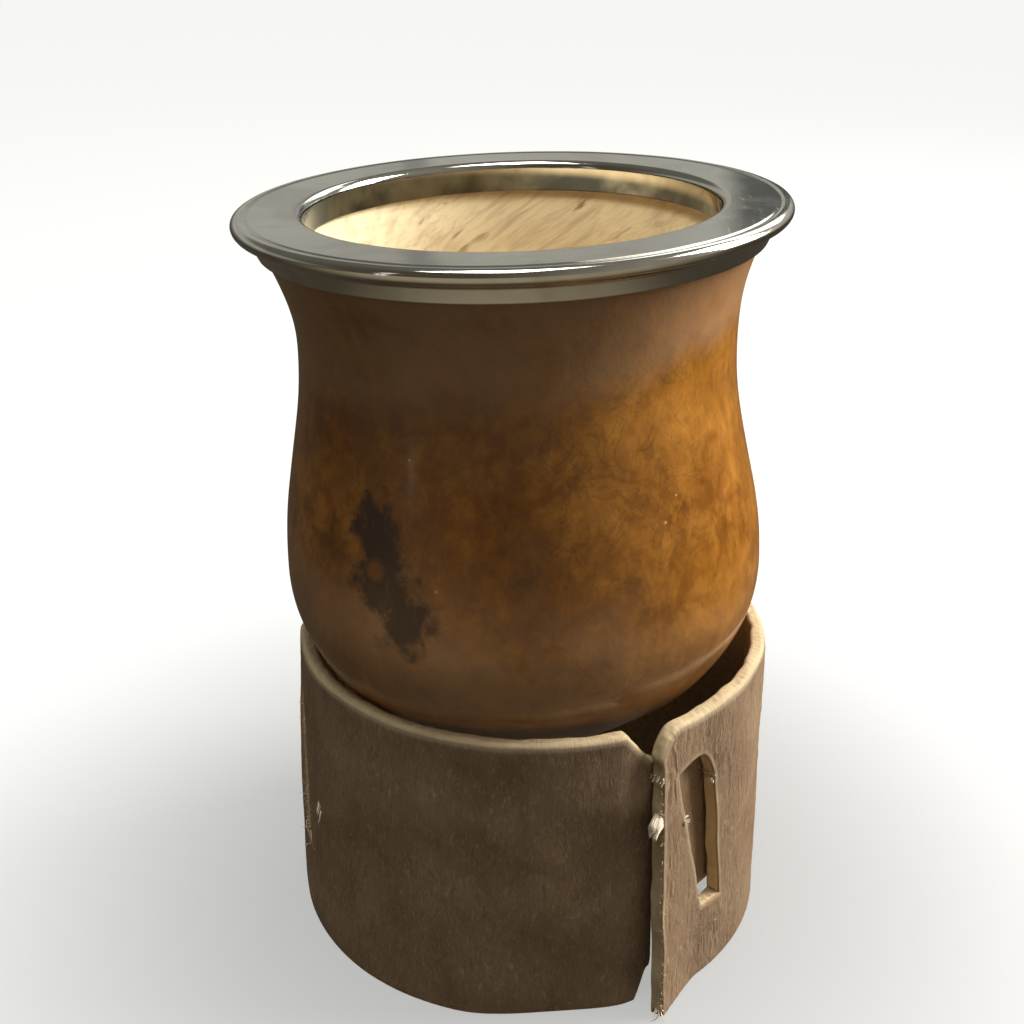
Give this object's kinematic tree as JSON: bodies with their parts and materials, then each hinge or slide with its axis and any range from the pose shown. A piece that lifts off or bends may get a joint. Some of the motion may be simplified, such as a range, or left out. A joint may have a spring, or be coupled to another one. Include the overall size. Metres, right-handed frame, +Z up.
{
  "type": "mate gourd cup in a leather stand",
  "caption": "Round gourd drinking cup with a waist and a flat metal mouth rim, empty, standing in a ring of interlocking leather panels.",
  "frame": {"origin": "on the table, under the centre of the whole object's outline", "axes": "+Z up towards the cup's mouth, -Y towards the front panel, +X towards the panel whose flap shows at the front right"},
  "size_m": [0.0878, 0.0853, 0.1265],
  "materials": {
    "lacquered_gourd": "glossy lacquer over a mottled brown skin, bare pale wood inside",
    "polished_metal": "polished, slightly worn",
    "raw_leather": "matt brown grain side with bare cream cut edges"
  },
  "bodies": {
    "root": {"gourd": "lacquered_gourd", "metal_rim": "polished_metal", "leather_front": "raw_leather", "leather_right": "raw_leather", "leather_back": "raw_leather"}
  },
  "joints": []
}
